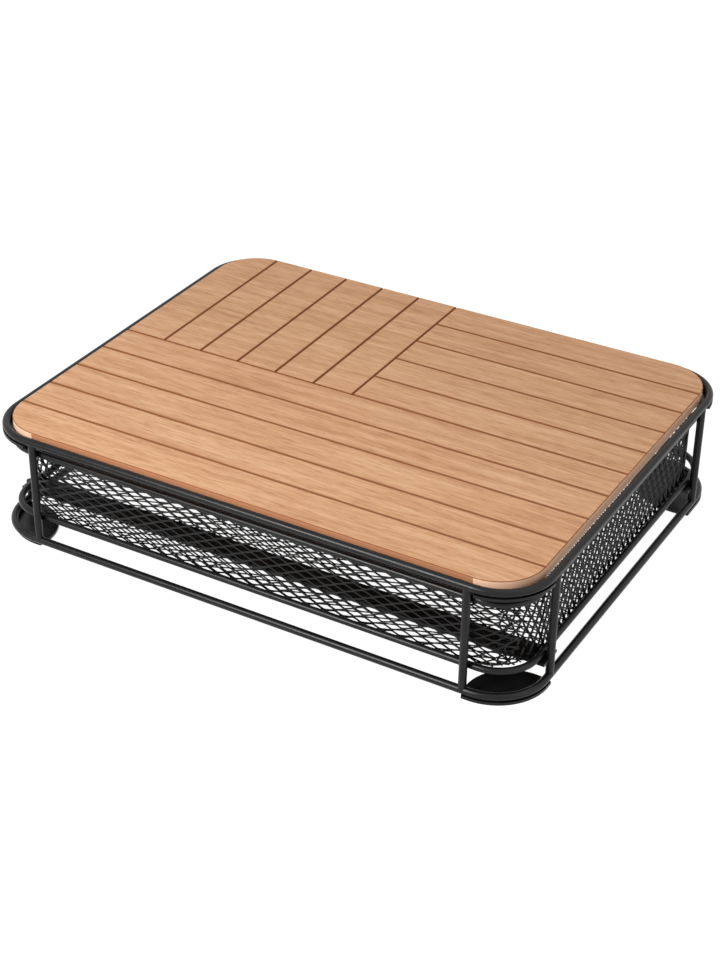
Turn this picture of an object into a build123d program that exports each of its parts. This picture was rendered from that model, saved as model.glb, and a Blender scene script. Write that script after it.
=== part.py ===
"""Coffee capsule holder: a wire frame with a wooden top and a mesh drawer that slides out to the left.

Millimetres, +Z up. The origin is on the table under the middle of the frame, X runs along the
frame and Y runs from front to back.
"""

import os
from math import atan2, degrees, hypot, pi

from build123d import *

# Frame: two wire rings joined by posts
wire_diameter = 4.0
ring_length = 301.2
ring_width = 236.6
ring_corner = 26.0
long_side_post_setback = 3.4
end_post_setback = 5.0
cope_trim = 0.6

# Pressed corner plates, used as feet and as seats for the board
plate_thickness = 1.5
plate_inset = 6.5
front_foot_plate_radius = 24.0
back_foot_plate_radius = 34.0
left_foot_plate_reach = 0.3
plate_post_clearance = 1.2

# Board: veneered, with milled grooves that make it look planked
board_stand = 2.1
board_end_gap = 1.75
board_side_gap = 0.2
plank_pitch = 23.0
cross_plank_pitch = 23.35
plank_count = 10
cross_groove_count = 6
long_groove_count = 5
groove_width = 1.3
groove_depth = 0.7
board_edge_chamfer = 0.3

# Screws that hold the board down on its plates
screw_diameter = 3.0
screw_head_diameter = 6.0
screw_head_height = 1.8
screw_bite = 3.6
screw_inset = 15.0
screw_slot = 0.9
screw_point_clearance = 0.3

# Runners under the drawer
runner_height = 13.5
runner_width = 13.6
runner_thickness = 1.5

# Drawer: two wires and a basket of expanded metal
drawer_wire = 3.5
drawer_corner = 20.0
drawer_height = 36.9
drawer_headroom = 1.4
drawer_recess = 5.4
slide_clearance = 0.3
side_clearance = 0.4
stop_clearance = 0.2

# Expanded metal
mesh_thickness = 0.8
mesh_corner = 28.0
mesh_lap = 1.0
mesh_border = 1.2
strand_width = 1.5
smallest_gap = 4.0
wall_long_pitch = 23.0
wall_short_pitch = 9.2
floor_long_pitch = 34.0
floor_short_pitch = 14.0

# Heights and half sizes that follow from the above
wire_radius = wire_diameter / 2
half_length = ring_length / 2
half_width = ring_width / 2
long_side_post_x = half_length - ring_corner - long_side_post_setback
end_post_y = half_width - ring_corner - end_post_setback
bottom_ring_z = plate_thickness + wire_radius

drawer_wire_radius = drawer_wire / 2
lower_wire_z = runner_height + slide_clearance + drawer_wire_radius
rim_z = lower_wire_z + drawer_height

plate_bottom = rim_z + drawer_wire_radius + drawer_headroom + screw_head_height
board_bottom = plate_bottom + plate_thickness
top_ring_z = board_bottom + wire_radius
board_top = top_ring_z + wire_radius + board_stand
board_length = ring_length - wire_diameter - 2 * board_end_gap
board_width = ring_width - wire_diameter - 2 * board_side_gap
board_corner = ring_corner - wire_radius
plate_post_reach = hypot(half_length - plate_inset - long_side_post_x, plate_inset)
board_plate_radius = plate_post_reach - wire_radius - plate_post_clearance

drawer_right = half_length - wire_radius - stop_clearance - drawer_wire_radius
drawer_left = -half_length + drawer_recess
drawer_middle = (drawer_left + drawer_right) / 2
drawer_length = drawer_right - drawer_left
drawer_width = ring_width - wire_diameter - 2 * side_clearance - drawer_wire

mesh_length = drawer_length - drawer_wire
mesh_width = drawer_width - drawer_wire
floor_bottom = lower_wire_z - drawer_wire_radius
wall_bottom = floor_bottom + mesh_thickness
wall_height = rim_z + mesh_lap - wall_bottom

post_places = {
    "post_front_left": (-long_side_post_x, -half_width),
    "post_front_right": (long_side_post_x, -half_width),
    "post_back_left": (-long_side_post_x, half_width),
    "post_back_right": (long_side_post_x, half_width),
    "post_right_front": (half_length, -end_post_y),
    "post_right_back": (half_length, end_post_y),
}
corners = {"front_left": (-1, -1), "front_right": (1, -1), "back_left": (-1, 1), "back_right": (1, 1)}
rows = {"front": -1, "back": 1}

os.makedirs("parts", exist_ok=True)


def save(piece, name):
    """Label a finished piece and write it under its own name."""
    piece.part.label = name
    export_step(piece.part, f"parts/{name}.step")


def bent_wire_loop(length, width, corner, diameter, middle, height):
    """Round wire bent into a closed rounded rectangle, lying level."""
    left, right = middle - length / 2, middle + length / 2
    front, back = -width / 2, width / 2
    with BuildPart() as loop:
        with BuildLine(Plane.XY.offset(height)) as path:
            Line((middle, front), (right - corner, front))
            RadiusArc((right - corner, front), (right, front + corner), -corner)
            Line((right, front + corner), (right, back - corner))
            RadiusArc((right, back - corner), (right - corner, back), -corner)
            Line((right - corner, back), (left + corner, back))
            RadiusArc((left + corner, back), (left, back - corner), -corner)
            Line((left, back - corner), (left, front + corner))
            RadiusArc((left, front + corner), (left + corner, front), -corner)
            Line((left + corner, front), (middle, front))
        with BuildSketch(Plane((middle, front, height), z_dir=(1, 0, 0))):
            Circle(diameter / 2)
        sweep()
    return loop


def upright_wire(x, y, low_end, high_end):
    """Straight wire standing at (x, y), coped round any ring that it meets."""
    ring_turn = (0, 90, 0) if abs(y) == half_width else (90, 0, 0)
    with BuildPart() as upright:
        with Locations((x, y, low_end)):
            Cylinder(wire_radius, high_end - low_end, align=(Align.CENTER, Align.CENTER, Align.MIN))
        with Locations((x, y, bottom_ring_z), (x, y, top_ring_z)):
            Cylinder(wire_radius, 4 * wire_diameter, rotation=ring_turn, mode=Mode.SUBTRACT)
    return upright


def corner_plate(side_x, side_y, bottom, radius, reach, screw_hole):
    """Lens-shaped plate under a ring corner: a disc trimmed a short reach outside the ring's centre line."""
    with BuildPart() as plate:
        with BuildSketch(Plane.XY.offset(bottom)):
            RectangleRounded(ring_length + 2 * reach, ring_width + 2 * reach, ring_corner + reach)
            with Locations((side_x * (half_length - plate_inset), side_y * (half_width - plate_inset))):
                Circle(radius, mode=Mode.INTERSECT)
            if screw_hole:
                with Locations((side_x * (half_length - screw_inset), side_y * (half_width - screw_inset))):
                    Circle(screw_diameter / 2, mode=Mode.SUBTRACT)
        extrude(amount=plate_thickness)
    return plate


def lattice(length, height, long_pitch, short_pitch):
    """Diamond centres over a panel, every other row half a pitch along, and the pitches that fit it."""
    columns = max(1, round(length / long_pitch))
    levels = max(1, round(height / short_pitch))
    step_along, step_up = length / columns / 2, height / levels / 2
    centres = [
        ((column - columns) * step_along, (level - levels) * step_up)
        for column in range(2 * columns + 1)
        for level in range(2 * levels + 1)
        if (column + level) % 2 == 0
    ]
    return centres, 2 * step_along, 2 * step_up


def diamond(long_pitch, short_pitch):
    """Corner points of one opening of expanded metal, between strands of one width."""
    half_long, half_short = long_pitch / 2, short_pitch / 2
    reach = half_long * half_short / hypot(half_long, half_short)
    share = (reach - strand_width / 2) / reach
    a, b = share * half_long, share * half_short
    return (a, 0), (0, b), (-a, 0), (0, -b)


def net_gaps(length, height, corner, long_pitch, short_pitch):
    """Openings of a flat panel of expanded metal, cut off square along its border."""
    open_length, open_height = length - 2 * mesh_border, height - 2 * mesh_border
    centres, long_step, short_step = lattice(open_length, open_height, long_pitch, short_pitch)
    with BuildSketch() as gaps:
        with Locations(*centres):
            Polygon(*diamond(long_step, short_step))
        if corner:
            RectangleRounded(open_length, open_height, corner - mesh_border, mode=Mode.INTERSECT)
        else:
            Rectangle(open_length, open_height, mode=Mode.INTERSECT)
    return [gap for gap in gaps.faces() if gap.area > smallest_gap]


# Frame
top_ring = bent_wire_loop(ring_length, ring_width, ring_corner, wire_diameter, 0, top_ring_z)
save(top_ring, "top_ring")

bottom_ring = bent_wire_loop(ring_length, ring_width, ring_corner, wire_diameter, 0, bottom_ring_z)
save(bottom_ring, "bottom_ring")

for name, (x, y) in post_places.items():
    save(upright_wire(x, y, bottom_ring_z + cope_trim, top_ring_z - cope_trim), name)

for name, (side_x, side_y) in corners.items():
    foot_radius = front_foot_plate_radius if side_y < 0 else back_foot_plate_radius
    foot_reach = left_foot_plate_reach if side_x < 0 else wire_radius
    save(corner_plate(side_x, side_y, 0, foot_radius, foot_reach, False), f"foot_plate_{name}")
    save(corner_plate(side_x, side_y, plate_bottom, board_plate_radius, wire_radius, True), f"board_plate_{name}")

# Runners, each between a right-hand post and a short peg on the open side
for name, side in rows.items():
    runner_y = side * end_post_y
    with BuildPart() as runner:
        with BuildSketch(Plane.XY.offset(runner_height - runner_thickness)):
            with Locations((0, runner_y)):
                Rectangle(ring_length, runner_width)
            with Locations((-half_length, runner_y), (half_length, runner_y)):
                Circle(wire_radius, mode=Mode.SUBTRACT)
        extrude(amount=runner_thickness)
    save(runner, f"runner_{name}")
    save(upright_wire(-half_length, runner_y, bottom_ring_z + cope_trim, runner_height), f"runner_peg_{name}")

# Board
first_plank = (board_width - (plank_count - 2) * plank_pitch) / 2
groove_ys = [-board_width / 2 + first_plank + k * plank_pitch for k in range(plank_count - 1)]
cross_xs = [-board_length / 2 + first_plank + k * cross_plank_pitch for k in range(cross_groove_count)]
groove_profile = ((-groove_width / 2, 0), (0, -groove_depth), (groove_width / 2, 0))

with BuildPart() as board:
    with BuildSketch(Plane.XY.offset(board_bottom)):
        RectangleRounded(board_length, board_width, board_corner)
    extrude(amount=board_top - board_bottom)
    chamfer(board.faces().sort_by(Axis.Z)[-1].edges(), board_edge_chamfer)
    with BuildSketch(Plane.YZ.offset(-board_length / 2)):
        with Locations(*[(y, board_top) for y in groove_ys[:long_groove_count]]):
            Polygon(*groove_profile, align=None)
    extrude(amount=board_length, mode=Mode.SUBTRACT)
    with BuildSketch(Plane.YZ.offset(cross_xs[-1])):
        with Locations(*[(y, board_top) for y in groove_ys[long_groove_count:]]):
            Polygon(*groove_profile, align=None)
    extrude(amount=board_length, mode=Mode.SUBTRACT)
    with BuildSketch(Plane.XZ.offset(-groove_ys[long_groove_count - 1])):
        with Locations(*[(x, board_top) for x in cross_xs]):
            Polygon(*groove_profile, align=None)
    extrude(amount=-board_width, mode=Mode.SUBTRACT)
    with BuildSketch(Plane.XY.offset(board_bottom)):
        with GridLocations(ring_length - 2 * screw_inset, ring_width - 2 * screw_inset, 2, 2):
            Circle(screw_diameter / 2)
    extrude(amount=screw_bite + screw_point_clearance, mode=Mode.SUBTRACT)
save(board, "board")

with BuildPart() as board_screws:
    with BuildSketch(Plane.XY.offset(plate_bottom - screw_head_height)):
        with GridLocations(ring_length - 2 * screw_inset, ring_width - 2 * screw_inset, 2, 2):
            Circle(screw_head_diameter / 2)
    extrude(amount=screw_head_height)
    chamfer(board_screws.edges().group_by(Axis.Z)[0], screw_head_height / 3)
    with BuildSketch(Plane.XY.offset(plate_bottom)):
        with GridLocations(ring_length - 2 * screw_inset, ring_width - 2 * screw_inset, 2, 2):
            Circle(screw_diameter / 2)
    extrude(amount=plate_thickness + screw_bite)
    chamfer(board_screws.edges().group_by(Axis.Z)[-1], screw_diameter / 4)
    with BuildSketch(Plane.XY.offset(plate_bottom - screw_head_height)):
        with GridLocations(ring_length - 2 * screw_inset, ring_width - 2 * screw_inset, 2, 2):
            Rectangle(screw_diameter, screw_slot)
            Rectangle(screw_slot, screw_diameter)
    extrude(amount=screw_head_height / 2, mode=Mode.SUBTRACT)
save(board_screws, "board_screws")

# Drawer
drawer_rim = bent_wire_loop(drawer_length, drawer_width, drawer_corner, drawer_wire, drawer_middle, rim_z)
save(drawer_rim, "drawer_rim")

drawer_lower_wire = bent_wire_loop(
    drawer_length, drawer_width, drawer_corner, drawer_wire, drawer_middle, lower_wire_z
)
save(drawer_lower_wire, "drawer_lower_wire")

with BuildPart() as drawer_floor:
    with BuildSketch(Plane.XY.offset(floor_bottom)):
        with Locations((drawer_middle, 0)):
            RectangleRounded(mesh_length, mesh_width, mesh_corner)
            add(
                net_gaps(mesh_length, mesh_width, mesh_corner, floor_long_pitch, floor_short_pitch),
                mode=Mode.SUBTRACT,
            )
    extrude(amount=mesh_thickness)
save(drawer_floor, "drawer_floor")

long_wall = mesh_length - 2 * mesh_corner
end_wall = mesh_width - 2 * mesh_corner
wall_middle = wall_bottom + wall_height / 2
wall_planes = {
    "front": (Plane((drawer_middle, -mesh_width / 2, wall_middle), (1, 0, 0), (0, -1, 0)), long_wall),
    "back": (Plane((drawer_middle, mesh_width / 2, wall_middle), (-1, 0, 0), (0, 1, 0)), long_wall),
    "left": (Plane((drawer_middle - mesh_length / 2, 0, wall_middle), (0, -1, 0), (-1, 0, 0)), end_wall),
    "right": (Plane((drawer_middle + mesh_length / 2, 0, wall_middle), (0, 1, 0), (1, 0, 0)), end_wall),
}
for name, (plane, length) in wall_planes.items():
    with BuildPart() as wall:
        with BuildSketch(plane):
            Rectangle(length, wall_height)
            add(net_gaps(length, wall_height, 0, wall_long_pitch, wall_short_pitch), mode=Mode.SUBTRACT)
        extrude(amount=-mesh_thickness)
    save(wall, f"drawer_wall_{name}")

# Bent corners of the basket, with whole diamonds cut through along the radius
bend_length = mesh_corner * pi / 2
bend_gaps, bend_long_pitch, bend_short_pitch = lattice(
    bend_length, wall_height - 2 * mesh_border, wall_long_pitch, wall_short_pitch
)
whole_gaps = [
    (along, level)
    for along, level in bend_gaps
    if abs(along) < (bend_length - bend_long_pitch + strand_width) / 2
    and abs(level) < (wall_height - bend_short_pitch) / 2
]
for name, (side_x, side_y) in corners.items():
    centre_x = drawer_middle + side_x * (mesh_length / 2 - mesh_corner)
    centre_y = side_y * (mesh_width / 2 - mesh_corner)
    middle_turn = degrees(atan2(side_y, side_x))
    gap_planes = []
    for along, level in whole_gaps:
        facing = Vector(1, 0, 0).rotate(Axis.Z, middle_turn + degrees(along / mesh_corner))
        gap_planes.append(Plane((centre_x, centre_y, wall_middle + level), facing.rotate(Axis.Z, 90), facing))
    with BuildPart() as bend:
        with BuildSketch(Plane.XY.offset(wall_bottom)):
            with BuildLine():
                outer = CenterArc((centre_x, centre_y), mesh_corner, middle_turn - 45, 90)
                inner = CenterArc((centre_x, centre_y), mesh_corner - mesh_thickness, middle_turn - 45, 90)
                Line(outer @ 0, inner @ 0)
                Line(outer @ 1, inner @ 1)
            make_face()
        extrude(amount=wall_height)
        with BuildSketch(*gap_planes):
            Polygon(*diamond(bend_long_pitch, bend_short_pitch))
        extrude(amount=mesh_corner + wire_diameter, mode=Mode.SUBTRACT)
    save(bend, f"drawer_corner_{name}")
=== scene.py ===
"""Coffee capsule holder: a powder-coated wire frame, a grooved wooden top and a mesh drawer."""

import bpy
import numpy as np
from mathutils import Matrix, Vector


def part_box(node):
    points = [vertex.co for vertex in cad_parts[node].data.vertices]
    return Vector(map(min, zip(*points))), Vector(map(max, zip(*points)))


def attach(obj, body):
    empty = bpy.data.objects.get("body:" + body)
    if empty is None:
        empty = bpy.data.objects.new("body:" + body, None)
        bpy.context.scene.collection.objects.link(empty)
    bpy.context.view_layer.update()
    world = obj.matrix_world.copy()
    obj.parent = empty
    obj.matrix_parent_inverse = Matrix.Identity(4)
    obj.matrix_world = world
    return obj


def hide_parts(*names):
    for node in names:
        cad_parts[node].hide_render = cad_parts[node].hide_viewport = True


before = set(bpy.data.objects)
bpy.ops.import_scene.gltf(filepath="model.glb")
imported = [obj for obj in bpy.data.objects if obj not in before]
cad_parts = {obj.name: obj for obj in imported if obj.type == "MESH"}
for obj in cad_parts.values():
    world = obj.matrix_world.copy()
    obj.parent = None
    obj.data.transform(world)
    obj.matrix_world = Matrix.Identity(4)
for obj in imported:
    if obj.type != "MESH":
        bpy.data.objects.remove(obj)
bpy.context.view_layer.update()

# Wire frame
# Two rings of 4 mm steel wire, bent to a rounded rectangle and joined by welded posts.
# The whole frame is powder coated, so the black skin is satin and a little pebbled.


def colour(hex_code):
    """Linear RGBA of an sRGB hex colour, each channel undone by the sRGB curve."""
    channels = np.array([int(hex_code[i : i + 2], 16) for i in (1, 3, 5)]) / 255
    low = channels / 12.92
    high = ((channels + 0.055) / 1.055) ** 2.4
    return (*np.where(channels <= 0.04045, low, high), 1.0)


def add_node(tree, kind, inputs=None, **settings):
    """Add a node, set its own properties, and give each named input a value or the socket that
    feeds it."""
    new = tree.nodes.new(kind)
    for name, value in settings.items():
        setattr(new, name, value)
    for name, value in (inputs or {}).items():
        if isinstance(value, bpy.types.NodeSocket):
            tree.links.new(value, new.inputs[name])
        else:
            new.inputs[name].default_value = value
    return new


def start_material(name):
    """A new material, with its node tree, its shader and the Object coordinates in metres."""
    material = bpy.data.materials.new(name)
    material.use_nodes = True
    tree = material.node_tree
    place = add_node(tree, "ShaderNodeTexCoord").outputs["Object"]
    return material, tree, tree.nodes["Principled BSDF"], place


def give_finish(material, *beginnings):
    """Give a material to every CAD node whose name begins with one of the given words."""
    for name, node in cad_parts.items():
        if name.startswith(beginnings):
            node.material_slots[0].material = material


# Powder coat: pigmented polyester melted on steel. It gives a broad soft highlight, broken by
# an orange-peel ripple about 0.9 mm wide, and faint cloudy patches some 12 mm wide.
peel_mm = 0.9
cloud_mm = 12
powder_coat, tree, shader, place = start_material("powder_coat_black")
peel = add_node(
    tree, "ShaderNodeTexNoise", {"Vector": place, "Scale": 1000 / peel_mm, "Detail": 2.0}
).outputs["Fac"]
cloud = add_node(
    tree, "ShaderNodeTexNoise", {"Vector": place, "Scale": 1000 / cloud_mm, "Detail": 3.0}
).outputs["Fac"]
shade = add_node(tree, "ShaderNodeValToRGB", {"Fac": cloud})
for stop, share, tint in zip(shade.color_ramp.elements, (0.35, 0.65), ("#0c0c0d", "#151516")):
    stop.position = share
    stop.color = colour(tint)
gloss = add_node(
    tree,
    "ShaderNodeMapRange",
    {"Value": cloud, "From Min": 0.3, "From Max": 0.7, "To Min": 0.24, "To Max": 0.36},
)
ripple = add_node(tree, "ShaderNodeBump", {"Height": peel, "Strength": 0.25, "Distance": 0.0001})
shader.inputs["Specular IOR Level"].default_value = 0.25
tree.links.new(shade.outputs["Color"], shader.inputs["Base Color"])
tree.links.new(gloss.outputs["Result"], shader.inputs["Roughness"])
tree.links.new(ripple.outputs["Normal"], shader.inputs["Normal"])
give_finish(powder_coat, "top_ring", "bottom_ring", "post_")

# Corner plates, runners and pegs
# Pressed from 1.5 mm sheet and welded on before coating: lens-shaped feet under the lower ring,
# the same form under the board, and two flat strips on which the drawer slides. Short wire pegs
# carry the strips at the open end.
give_finish(powder_coat, "foot_plate", "board_plate", "runner")

# Board
# Wood veneer on a core, 6 mm thick in all, milled with V grooves that make it look planked. The
# grain runs along the frame everywhere, across the short planks too. It lies inside the upper
# ring, on the corner plates.

# Oiled veneer: matt, with 0.6 mm fibres some 14 mm long, growth bands some 5 mm wide, and short
# dark pores. Each pattern is stretched along the grain.
veneer, tree, shader, place = start_material("oiled_veneer")
grain = {}
for name, length_mm, width_mm, detail, distortion in (
    ("fibre", 14, 0.6, 3.0, 0.0),
    ("band", 90, 5, 4.0, 0.4),
    ("pore", 7, 0.45, 1.0, 0.0),
):
    stretched = add_node(
        tree,
        "ShaderNodeMapping",
        {"Vector": place, "Scale": (1000 / length_mm, 1000 / width_mm, 1000 / width_mm)},
    ).outputs["Vector"]
    grain[name] = add_node(
        tree,
        "ShaderNodeTexNoise",
        {"Vector": stretched, "Scale": 1.0, "Detail": detail, "Distortion": distortion},
    ).outputs["Fac"]
streaks = add_node(
    tree, "ShaderNodeMix", {"Factor": 0.45, "A": grain["fibre"], "B": grain["band"]}
).outputs["Result"]
tone = add_node(tree, "ShaderNodeValToRGB", {"Fac": streaks})
tone.color_ramp.elements.new(0.5)
wood_tones = ("#b07d57", "#d3a179", "#e4b992")
pore_brown = "#965f3a"
for stop, share, tint in zip(tone.color_ramp.elements, (0.3, 0.5, 0.68), wood_tones):
    stop.position = share
    stop.color = colour(tint)
pore_share = add_node(
    tree,
    "ShaderNodeMapRange",
    {"Value": grain["pore"], "From Min": 0.58, "From Max": 0.76, "To Min": 0.0, "To Max": 0.6},
).outputs["Result"]
pored = add_node(
    tree,
    "ShaderNodeMix",
    {"Factor": pore_share, "A": tone.outputs["Color"], "B": colour(pore_brown)},
    data_type="RGBA",
).outputs["Result"]

# The cutter scorches the veneer brown in each groove and some 0.6 mm beside it. The long grooves
# lie every 23 mm from the middle, and the cross grooves every 23.35 mm in the back left part.
# Half a pitch past the last groove the pattern stops.
long_pitch = 0.023
long_stop = 4.5 * long_pitch
cross_pitch = 0.02335
cross_first = -0.006
cross_stop = cross_first - 5.5 * cross_pitch
scorch_full = 0.0006
scorch_none = 0.0013
scorch_strength = 0.65
scorch_brown = "#80481f"
spot = add_node(tree, "ShaderNodeSeparateXYZ", {"Vector": place})
across = add_node(
    tree, "ShaderNodeMath", {0: spot.outputs["Y"]}, operation="ABSOLUTE"
).outputs["Value"]
across = add_node(
    tree, "ShaderNodeMath", {0: across, 1: long_stop}, operation="MINIMUM"
).outputs["Value"]
long_gap = add_node(
    tree, "ShaderNodeMath", {0: across, 1: long_pitch / 2}, operation="PINGPONG"
).outputs["Value"]
along = add_node(
    tree, "ShaderNodeMath", {0: spot.outputs["X"], 1: cross_stop}, operation="MAXIMUM"
).outputs["Value"]
along = add_node(
    tree, "ShaderNodeMath", {0: along, 1: -cross_first}, operation="ADD"
).outputs["Value"]
cross_gap = add_node(
    tree, "ShaderNodeMath", {0: along, 1: cross_pitch / 2}, operation="PINGPONG"
).outputs["Value"]
left_part = add_node(
    tree, "ShaderNodeMath", {0: spot.outputs["X"], 1: cross_first}, operation="LESS_THAN"
).outputs["Value"]
back_part = add_node(
    tree, "ShaderNodeMath", {0: spot.outputs["Y"], 1: 0.0}, operation="GREATER_THAN"
).outputs["Value"]
crossed = add_node(
    tree, "ShaderNodeMath", {0: left_part, 1: back_part}, operation="MULTIPLY"
).outputs["Value"]
gap = add_node(
    tree, "ShaderNodeMix", {"Factor": crossed, "A": long_gap, "B": cross_gap}
).outputs["Result"]
scorch = add_node(
    tree,
    "ShaderNodeMapRange",
    {
        "Value": gap,
        "From Min": scorch_full,
        "From Max": scorch_none,
        "To Min": scorch_strength,
        "To Max": 0.0,
    },
).outputs["Result"]

# The groove walls and the broken arris lean between level and upright, which tells them from the
# face. The upright edges show the core, reddish along the straight sides. Round the corners and
# at the ends they are painted paler: a painted light for the light that falls on the ends.
lean_middle = 0.7
lean_spread = 0.2
level_least = 0.5
end_least = 0.05
straight_edge = "#b57c59"
# The paler tone is painted light on the ends, not the core's own colour.
painted_lit_edge = "#f8c9a8"
normal = add_node(tree, "ShaderNodeNewGeometry").outputs["True Normal"]
facing = add_node(tree, "ShaderNodeSeparateXYZ", {"Vector": normal})
lean = add_node(
    tree,
    "ShaderNodeMath",
    {0: facing.outputs["Z"], 1: lean_middle, 2: lean_spread},
    operation="COMPARE",
).outputs["Value"]
upper = add_node(
    tree, "ShaderNodeMath", {0: facing.outputs["Z"], 1: level_least}, operation="GREATER_THAN"
).outputs["Value"]
beside = add_node(
    tree, "ShaderNodeMath", {0: upper, 1: scorch}, operation="MULTIPLY"
).outputs["Value"]
burnt = add_node(
    tree, "ShaderNodeMath", {0: lean, 1: beside}, operation="MAXIMUM"
).outputs["Value"]
grooved = add_node(
    tree,
    "ShaderNodeMix",
    {"Factor": burnt, "A": pored, "B": colour(scorch_brown)},
    data_type="RGBA",
).outputs["Result"]
# Painted light: faces turned towards the ends, at both ends and round the corners, take the paler
# tone in place of the light that falls on them.
painted_light_ends = add_node(
    tree, "ShaderNodeMath", {0: facing.outputs["X"]}, operation="ABSOLUTE"
).outputs["Value"]
painted_light_ends = add_node(
    tree, "ShaderNodeMath", {0: painted_light_ends, 1: end_least}, operation="GREATER_THAN"
).outputs["Value"]
edge_core_and_painted_light = add_node(
    tree,
    "ShaderNodeMix",
    {"Factor": painted_light_ends, "A": colour(straight_edge), "B": colour(painted_lit_edge)},
    data_type="RGBA",
).outputs["Result"]
upright = add_node(
    tree,
    "ShaderNodeMath",
    {0: facing.outputs["Z"], 1: 0.0, 2: lean_spread},
    operation="COMPARE",
).outputs["Value"]
edged = add_node(
    tree, "ShaderNodeMix", {"Factor": upright, "A": grooved, "B": edge_core_and_painted_light}, data_type="RGBA"
).outputs["Result"]
fibre_bump = add_node(
    tree, "ShaderNodeBump", {"Height": grain["fibre"], "Strength": 0.15, "Distance": 0.0001}
)
shader.inputs["Roughness"].default_value = 0.55
shader.inputs["Specular IOR Level"].default_value = 0.2
tree.links.new(edged, shader.inputs["Base Color"])
tree.links.new(fibre_bump.outputs["Normal"], shader.inputs["Normal"])
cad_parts["board"].material_slots[0].material = veneer

# Board screws
# Zinc-plated pan heads, driven up through the corner plates into the board.

# Zinc plate: thin bright plating on steel, a grey metal shine with an uneven gloss in patches
# about 0.8 mm wide.
spangle_mm = 0.8
zinc, tree, shader, place = start_material("zinc_plate")
spangle = add_node(
    tree, "ShaderNodeTexNoise", {"Vector": place, "Scale": 1000 / spangle_mm, "Detail": 2.0}
).outputs["Fac"]
gloss = add_node(tree, "ShaderNodeMapRange", {"Value": spangle, "To Min": 0.25, "To Max": 0.45})
shader.inputs["Base Color"].default_value = colour("#b9babb")
shader.inputs["Metallic"].default_value = 1.0
tree.links.new(gloss.outputs["Result"], shader.inputs["Roughness"])
give_finish(zinc, "board_screws")

# Drawer wires
# Two loops of 3.5 mm wire, one round the rim and one round the floor, coated like the frame.
give_finish(powder_coat, "drawer_rim", "drawer_lower_wire")

# Basket sides
# Expanded metal: sheet that is slit and pulled open, so that each strand zigzags from joint to
# joint. Each long wall is a stack of level strands that run on round most of each corner.
strand_width = 0.00082
strand_thickness = 0.00028
joint_share = 0.08
mesh_corner = 0.028
corner_lap = 0.62
side_pitch = 0.0103
side_row = 0.00246
side_joint = 0.00865
bar_corners = np.array([(-1, -1), (1, -1), (1, 1), (-1, 1)]) / 2
wall_low, wall_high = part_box("drawer_wall_front")
floor_low, floor_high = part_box("drawer_floor")
basket_low = np.array(floor_low[:2])
basket_high = np.array(floor_high[:2])
middle = (basket_high + basket_low) / 2
reach = (basket_high - basket_low) / 2 - mesh_corner
quarter = mesh_corner * np.pi / 2


def zigzag(low, high, pitch, joint):
    """Stations from low to high, at the ends of each short joint and half way along each strand,
    with the rise there: it goes from -1 at the given joint to +1 half a pitch on, and back."""
    half = joint_share / 2
    shares = np.array([-half, half, 0.25, 0.5 - half, 0.5 + half, 0.75])
    first = np.floor((low - joint) / pitch) - 1
    count = int(np.ceil((high - low) / pitch)) + 3
    along = joint + pitch * (first + np.arange(count)[:, None] + shares).ravel()
    rise = np.tile([-1.0, -1.0, 0.0, 1.0, 1.0, 0.0], count)
    clipped = np.clip(along, low, high)
    return clipped, np.interp(clipped, along, rise)


def outline(around):
    """Points of the basket's outline at given lengths round it, starting at the front of the
    right end, and the outward direction there: the centre of curvature plus the corner's radius
    times that direction."""
    half_round = [2 * reach[1], quarter, 2 * reach[0], quarter]
    passed = np.cumsum([0] + half_round + half_round)
    around = np.mod(around, passed[-1])
    turn = np.interp(around, passed, np.pi / 2 * np.array([0, 0, 1, 1, 2, 2, 3, 3, 4]))
    spine_x = np.interp(around, passed, reach[0] * np.array([1, 1, 1, -1, -1, -1, -1, 1, 1]))
    spine_y = np.interp(around, passed, reach[1] * np.array([-1, 1, 1, 1, 1, -1, -1, -1, -1]))
    outward = np.stack([np.cos(turn), np.sin(turn), np.zeros_like(turn)], axis=-1)
    spine = np.stack([middle[0] + spine_x, middle[1] + spine_y, np.zeros_like(turn)], axis=-1)
    return spine + outward * mesh_corner, outward


def strand_bars(centres, across, outwards):
    """Flat bars along rows of stations: each corner of a bar's section is the station's centre
    plus or minus half the vector across, plus or minus half the one outwards. Stations that
    coincide are skipped, and the ends are capped."""
    points = (
        centres[:, :, None]
        + across[:, :, None] * bar_corners[:, :1]
        + outwards[:, :, None] * bar_corners[:, 1:]
    )
    rows, stations = centres.shape[:2]
    index = np.arange(rows * stations * 4).reshape(rows, stations, 4)
    moves = np.linalg.norm(np.diff(centres, axis=1), axis=2) > 1e-6
    here, following = index[:, :-1], index[:, 1:]
    quads = np.stack([here, np.roll(here, -1, 2), np.roll(following, -1, 2), following], axis=3)
    faces = np.vstack([quads[moves].reshape(-1, 4), index[:, 0, ::-1], index[:, -1]])
    used, faces = np.unique(faces, return_inverse=True)
    return points.reshape(-1, 3)[used], faces.reshape(-1, 4)


def add_piece(name, points, faces, material):
    """Put computed points and faces into a mesh object at the origin."""
    mesh = bpy.data.meshes.new(name)
    mesh.from_pydata(points.tolist(), [], faces.tolist())
    mesh.materials.append(material)
    piece = bpy.data.objects.new(name, mesh)
    bpy.context.collection.objects.link(piece)
    return piece


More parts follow.
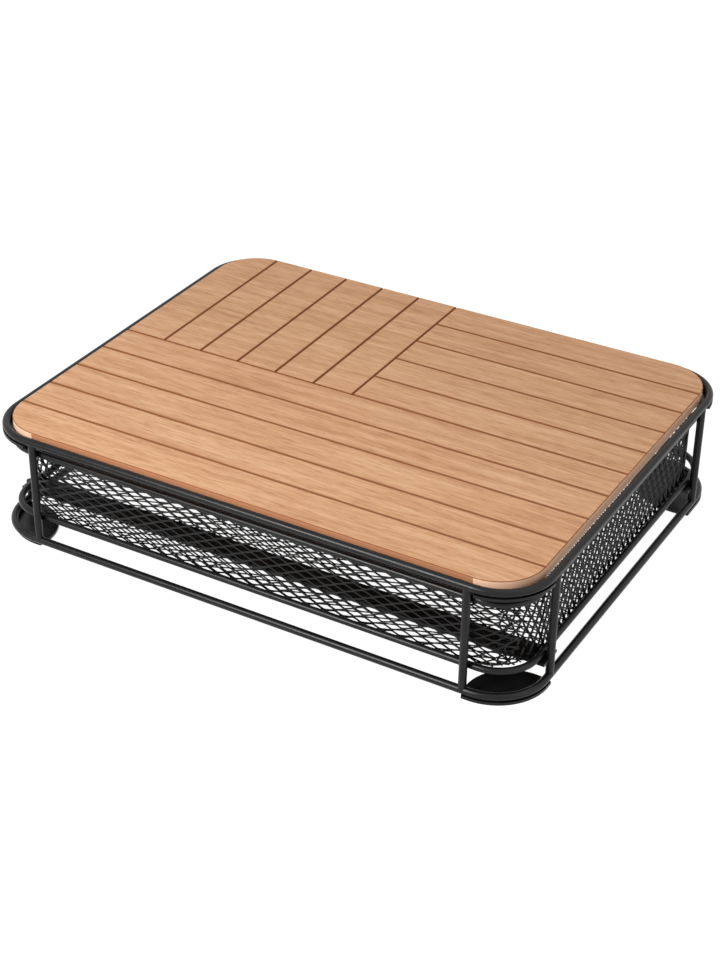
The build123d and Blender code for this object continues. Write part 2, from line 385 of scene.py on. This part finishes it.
half_run = reach[0] + corner_lap * quarter
run, rise = zigzag(-half_run, half_run, side_pitch, side_joint - middle[0])
rows = np.arange(int((wall_high[2] - wall_low[2]) / side_row) + 1)
row_rise = rise * np.where(rows % 2, -1, 1)[:, None]
height = wall_low[2] + rows[:, None] * side_row + row_rise * (side_row - strand_width) / 2
height = np.clip(height, wall_low[2] + strand_width / 2, wall_high[2] - strand_width / 2)
front_middle = 4 * reach[1] + 3 * reach[0] + 3 * quarter
back_middle = 2 * reach[1] + reach[0] + quarter
walls = []
for wall_middle in (front_middle, back_middle):
    places, outward = outline(wall_middle + run)
    centres = np.tile(places - outward * strand_thickness / 2, (len(rows), 1, 1))
    centres[:, :, 2] = height
    upwards = np.broadcast_to([0, 0, strand_width], centres.shape)
    outwards = np.broadcast_to(outward * strand_thickness, centres.shape)
    walls.append((centres, upwards, outwards))
bars = strand_bars(*[np.vstack(part) for part in zip(*walls)])
basket_sides = add_piece("basket_sides", *bars, powder_coat)
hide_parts("drawer_wall_front", "drawer_wall_back")
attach(basket_sides, "drawer")

# Basket ends
# The floor's sheet folded up, so that the diamonds stand on end. The upright strands lie inside
# the long walls at the corners. They are tilted out of the sheet like the slats of a louvre, so
# that seen aslant they nearly close.
end_pitch = 0.0103
end_row = 0.0029
end_joint = 0.002
end_width = 0.001
end_depth = 0.00075
strand_tilt = np.radians(40)
half_run = reach[1] + corner_lap * quarter
columns = np.arange(-int(half_run / end_row), int(half_run / end_row) + 1)
climb, rise = zigzag(wall_low[2], wall_high[2], end_pitch, wall_low[2] + end_joint)
column_rise = rise * np.where(columns % 2, -1, 1)[:, None]
sideways = columns[:, None] * end_row + column_rise * (end_row - end_width) / 2
right_middle = reach[1]
left_middle = 3 * reach[1] + 2 * reach[0] + 2 * quarter
walls = []
for wall_middle in (right_middle, left_middle):
    places, outward = outline(wall_middle + sideways)
    centres = places - outward * end_depth
    centres[:, :, 2] = climb
    tangent = np.cross(outward, [0, 0, 1.0])
    slat = tangent * np.cos(strand_tilt) - outward * np.sin(strand_tilt)
    facing_out = outward * np.cos(strand_tilt) + tangent * np.sin(strand_tilt)
    walls.append((centres, slat * end_width, facing_out * strand_thickness))
bars = strand_bars(*[np.vstack(part) for part in zip(*walls)])
basket_ends = add_piece("basket_ends", *bars, powder_coat)
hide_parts("drawer_wall_left", "drawer_wall_right")
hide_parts(*[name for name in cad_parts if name.startswith("drawer_corner")])
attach(basket_ends, "drawer")

# Basket hem
# The unslit edge of the sheet: a flat band 1.2 mm wide round the top of the basket, which ends
# level with the walls.
hem_width = 0.0012
hem_thickness = 0.0008
hem_steps = 240


def closed_band(centres, width, thickness, outward):
    """A flat upright band along a closed row of stations: each corner of its section is the
    station's centre plus or minus half the width upwards, plus or minus half the thickness
    outwards."""
    points = (
        centres[:, None]
        + np.array([0, 0, width]) * bar_corners[:, :1]
        + outward[:, None] * bar_corners[:, 1:] * thickness
    )
    index = np.arange(len(centres) * 4).reshape(-1, 4)
    following = np.roll(index, -1, 0)
    faces = np.stack([index, np.roll(index, -1, 1), np.roll(following, -1, 1), following], axis=2)
    return points.reshape(-1, 3), faces.reshape(-1, 4)


round_length = 4 * (reach[0] + reach[1] + quarter)
places, outward = outline(np.linspace(0, round_length, hem_steps, endpoint=False))
centres = places - outward * hem_thickness / 2
centres[:, 2] = wall_high[2] - hem_width / 2
band = closed_band(centres, hem_width, hem_thickness, outward)
basket_hem = add_piece("basket_hem", *band, powder_coat)
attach(basket_hem, "drawer")

# Basket floor
# The flat part of the same sheet: strands along the drawer, side by side, that stop at the
# rounded outline, just inside the lower wire.
floor_pitch = 0.01015
floor_row = 0.00238
floor_joint = 0.0067
rows = np.arange(int((basket_high[1] - basket_low[1]) / floor_row))
row_y = (rows - (len(rows) - 1) / 2) * floor_row
row_end = reach[0] + np.sqrt(mesh_corner**2 - np.clip(np.abs(row_y) - reach[1], 0, None) ** 2)
floor_left, floor_right = basket_low[0] - middle[0], basket_high[0] - middle[0]
run, rise = zigzag(floor_left, floor_right, floor_pitch, floor_joint - middle[0])
clipped = np.clip(run, -row_end[:, None], row_end[:, None])
row_rise = np.interp(clipped, run, rise) * np.where(rows % 2, -1, 1)[:, None]
centres = np.zeros((len(rows), len(run), 3))
centres[:, :, 0] = middle[0] + clipped
centres[:, :, 1] = middle[1] + row_y[:, None] + row_rise * (floor_row - strand_width) / 2
centres[:, :, 2] = (floor_low[2] + floor_high[2]) / 2
sideways = np.broadcast_to([0, strand_width, 0], centres.shape)
upwards = np.broadcast_to([0, 0, strand_thickness], centres.shape)
bars = strand_bars(centres, sideways, upwards)
basket_floor = add_piece("basket_floor", *bars, powder_coat)
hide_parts("drawer_floor")
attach(basket_floor, "drawer")

# Table and backdrop
# A white sweep: the table shows the camera plain white with a faint shadow, and lights the
# underside of the wires by its own bounce.
table_reach = 4
table_lines = 9
table_level = -0.0002
bounce_grey = "#e8e8e8"
shadow_grey = "#808080"
table_glow = 0.95
world_light = 0.25
world_shown = 1.0
edge = np.linspace(-table_reach, table_reach, table_lines)
grid_x, grid_y = np.meshgrid(edge, edge)
points = np.stack([grid_x, grid_y, np.full_like(grid_x, table_level)], axis=2).reshape(-1, 3)
index = np.arange(table_lines**2).reshape(table_lines, table_lines)
faces = np.stack([index[:-1, :-1], index[:-1, 1:], index[1:, 1:], index[1:, :-1]], axis=2)


def background_rays(tree):
    """1 for a ray that shows the background, straight, off a gloss or through glass, and 0 for
    one that only lights: the largest of the three marks."""
    path = add_node(tree, "ShaderNodeLightPath")
    seen = path.outputs["Is Camera Ray"]
    for mark in ("Is Glossy Ray", "Is Transmission Ray"):
        seen = add_node(
            tree, "ShaderNodeMath", {0: seen, 1: path.outputs[mark]}, operation="MAXIMUM"
        ).outputs["Value"]
    return seen


white_table = bpy.data.materials.new("white_table")
white_table.use_nodes = True
tree = white_table.node_tree
tree.nodes.remove(tree.nodes["Principled BSDF"])
bounce = add_node(tree, "ShaderNodeBsdfDiffuse", {"Color": colour(bounce_grey)})
shadowed = add_node(tree, "ShaderNodeBsdfDiffuse", {"Color": colour(shadow_grey)})
glow = add_node(tree, "ShaderNodeEmission", {"Color": (1, 1, 1, 1), "Strength": table_glow})
shown = add_node(
    tree, "ShaderNodeAddShader", {0: shadowed.outputs["BSDF"], 1: glow.outputs["Emission"]}
)
mixed = add_node(
    tree,
    "ShaderNodeMixShader",
    {0: background_rays(tree), 1: bounce.outputs["BSDF"], 2: shown.outputs["Shader"]},
)
tree.links.new(mixed.outputs["Shader"], tree.nodes["Material Output"].inputs["Surface"])
table = add_piece("table", points, faces.reshape(-1, 4), white_table)

scene = bpy.context.scene
world = bpy.data.worlds.new("studio")
world.use_nodes = True
scene.world = world
tree = world.node_tree
level = add_node(
    tree,
    "ShaderNodeMapRange",
    {"Value": background_rays(tree), "To Min": world_light, "To Max": world_shown},
)
sky = tree.nodes["Background"]
sky.inputs["Color"].default_value = (1, 1, 1, 1)
tree.links.new(level.outputs["Result"], sky.inputs["Strength"])

# Studio light
# A small soft box near the front left gives the wires their highlights. A broad one on the right
# and a broad one overhead fill the shade.
aim = Vector((0, 0, 0.04))
for name, location, size, power in (
    ("key_light", (-0.2, -0.65, 0.5), 0.4, 6.2),
    ("fill_light", (1.3, -0.1, 0.5), 1.4, 4.0),
    ("top_light", (0.5, 0.2, 1.7), 1.6, 5.5),
):
    lamp = bpy.data.lights.new(name, "AREA")
    lamp.shape = "DISK"
    lamp.size = size
    lamp.energy = power
    light = bpy.data.objects.new(name, lamp)
    light.location = location
    light.rotation_euler = (aim - Vector(location)).to_track_quat("-Z", "Y").to_euler()
    bpy.context.collection.objects.link(light)

# Camera
# A long lens from the front right and above; the shift only frames the holder as photographed.
line_of_sight = Vector((-0.4380, 0.7285, -0.5268))
lens = bpy.data.cameras.new("camera")
lens.lens = 74.4
lens.sensor_width = 36.0
lens.shift_x = 0.0514
lens.shift_y = 0.0054
camera = bpy.data.objects.new("camera", lens)
camera.location = (0.4343, -0.7735, 0.5616)
camera.rotation_euler = line_of_sight.to_track_quat("-Z", "Y").to_euler()
bpy.context.collection.objects.link(camera)
scene.camera = camera
scene.view_settings.view_transform = "Standard"
